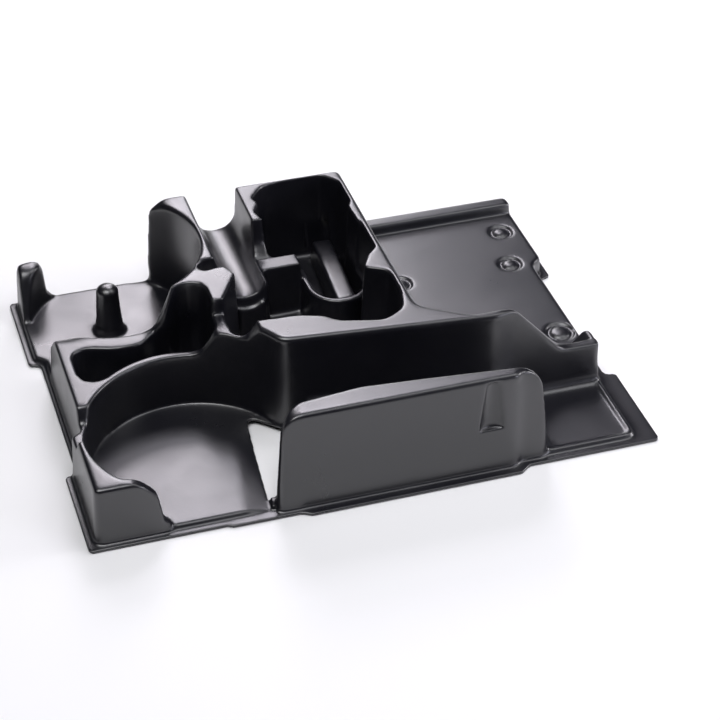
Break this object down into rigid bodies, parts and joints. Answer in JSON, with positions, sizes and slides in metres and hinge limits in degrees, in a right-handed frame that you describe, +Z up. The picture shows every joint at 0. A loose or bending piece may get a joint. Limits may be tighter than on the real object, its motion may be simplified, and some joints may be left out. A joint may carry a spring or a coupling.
{
  "type": "tool case insert",
  "caption": "One-piece black thermoformed tray for a stacking tool case, with a round guard pocket, a body channel, a disc pocket with post, a grip trough and deep accessory pockets.",
  "frame": {"origin": "centre of the bounding box, at the underside of the flange", "axes": "+X along the length, with the flat bay at the +X end; +Y from the front ridge to the back wall; +Z up"},
  "size_m": [0.382, 0.2804, 0.074],
  "materials": {
    "insert": "satin gloss, black thermoformed sheet"
  },
  "bodies": {
    "root": {"insert": "insert"}
  },
  "joints": []
}
